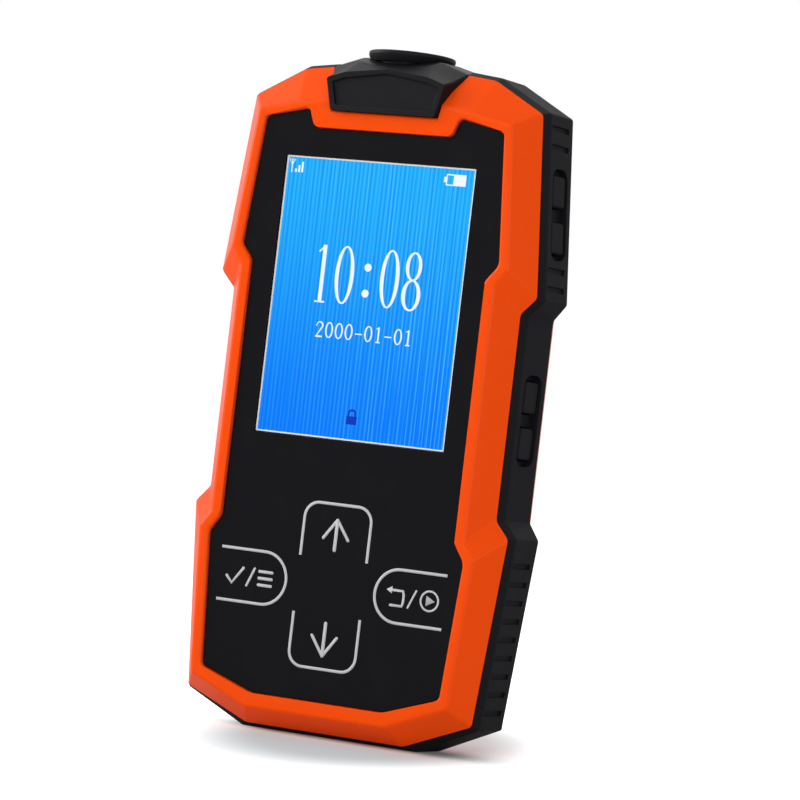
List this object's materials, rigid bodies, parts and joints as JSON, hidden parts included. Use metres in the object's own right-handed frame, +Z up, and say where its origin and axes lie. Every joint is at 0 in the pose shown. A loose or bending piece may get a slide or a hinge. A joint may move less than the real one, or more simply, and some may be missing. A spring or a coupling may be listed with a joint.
{
  "type": "guard patrol wand",
  "caption": "Rugged hand-held patrol reader with an orange case, black bumper, colour display, printed touch keys, side keys, sensing nose and a torch on top.",
  "frame": {"origin": "middle of the box's underside, on the flat foot that the wand stands on", "axes": "+Z up from the foot to the torch, -Y out of the display, +X to the side with the keys"},
  "size_m": [0.0758, 0.03, 0.1422],
  "materials": {
    "orange_case": "fine matte texture",
    "black_rubber": "soft matte",
    "black_plastic": "satin",
    "panel_plastic": "satin with printed key marks",
    "display_surface": "lit blue display",
    "clear_lens": "clear",
    "bright_plate": "vacuum plated",
    "steel": "plated steel",
    "circuit_board": "solder mask",
    "copper_wire": "enamelled copper",
    "ferrite_sheet": "matte",
    "white_plastic": "satin",
    "cell_wrap": "shrink film",
    "grey_rubber": "matte"
  },
  "bodies": {
    "case": {"front_case": "orange_case", "rear_case": "orange_case", "side_bumper": "black_rubber", "case_gasket": "grey_rubber", "nose_cap": "black_plastic", "torch_bezel": "black_plastic", "torch_lens": "clear_lens", "torch_reflector": "bright_plate", "torch_led": "white_plastic", "torch_led_board": "white_plastic", "reader_coil": "copper_wire", "reader_ferrite": "ferrite_sheet", "front_panel": "panel_plastic", "display_bezel": "steel", "display_glass": "display_surface", "display_backlight": "white_plastic", "display_ribbon": "copper_wire", "touch_key_board": "circuit_board", "main_board": "circuit_board", "processor_shield": "steel", "radio_module": "steel", "card_holder": "steel", "clock_cell": "steel", "battery_pack": "cell_wrap", "battery_pad": "grey_rubber", "speaker": "black_plastic", "radio_antenna": "copper_wire", "vibration_motor": "steel", "upper_switch_board": "circuit_board", "lower_switch_board": "circuit_board", "charging_board": "circuit_board", "charging_socket": "steel", "port_cover_pin": "steel", "rear_pad": "black_rubber", "case_screws": "steel", "board_screws": "steel"},
    "key_1": {"side_key_1": "black_rubber"},
    "key_2": {"side_key_2": "black_rubber"},
    "key_3": {"side_key_3": "black_rubber"},
    "key_4": {"side_key_4": "black_rubber"},
    "cover": {"port_cover": "black_rubber"},
    "weight": {"vibration_weight": "steel"}
  },
  "joints": [
    {"name": "key_1_press", "type": "slide", "parent": "case", "child": "key_1", "axis": [-0.9958, 0, -0.091], "range_m": [0, 0.0006], "stiffness_N_per_m": 3000},
    {"name": "key_2_press", "type": "slide", "parent": "case", "child": "key_2", "axis": [-0.9958, 0, -0.091], "range_m": [0, 0.0006], "stiffness_N_per_m": 3000},
    {"name": "key_3_press", "type": "slide", "parent": "case", "child": "key_3", "axis": [-1, 0, 0], "range_m": [0, 0.0006], "stiffness_N_per_m": 3000},
    {"name": "key_4_press", "type": "slide", "parent": "case", "child": "key_4", "axis": [-1, 0, 0], "range_m": [0, 0.0006], "stiffness_N_per_m": 3000},
    {"name": "cover_hinge", "type": "hinge", "parent": "case", "child": "cover", "pos_m": [-0.0338, -0.0015, 0.0628], "axis": [0, -1, 0], "range_deg": [0, 105]},
    {"name": "weight_spin", "type": "hinge", "parent": "case", "child": "weight", "pos_m": [0.0135, -0.0039, 0.104], "axis": [1, 0, 0], "continuous": true}
  ]
}
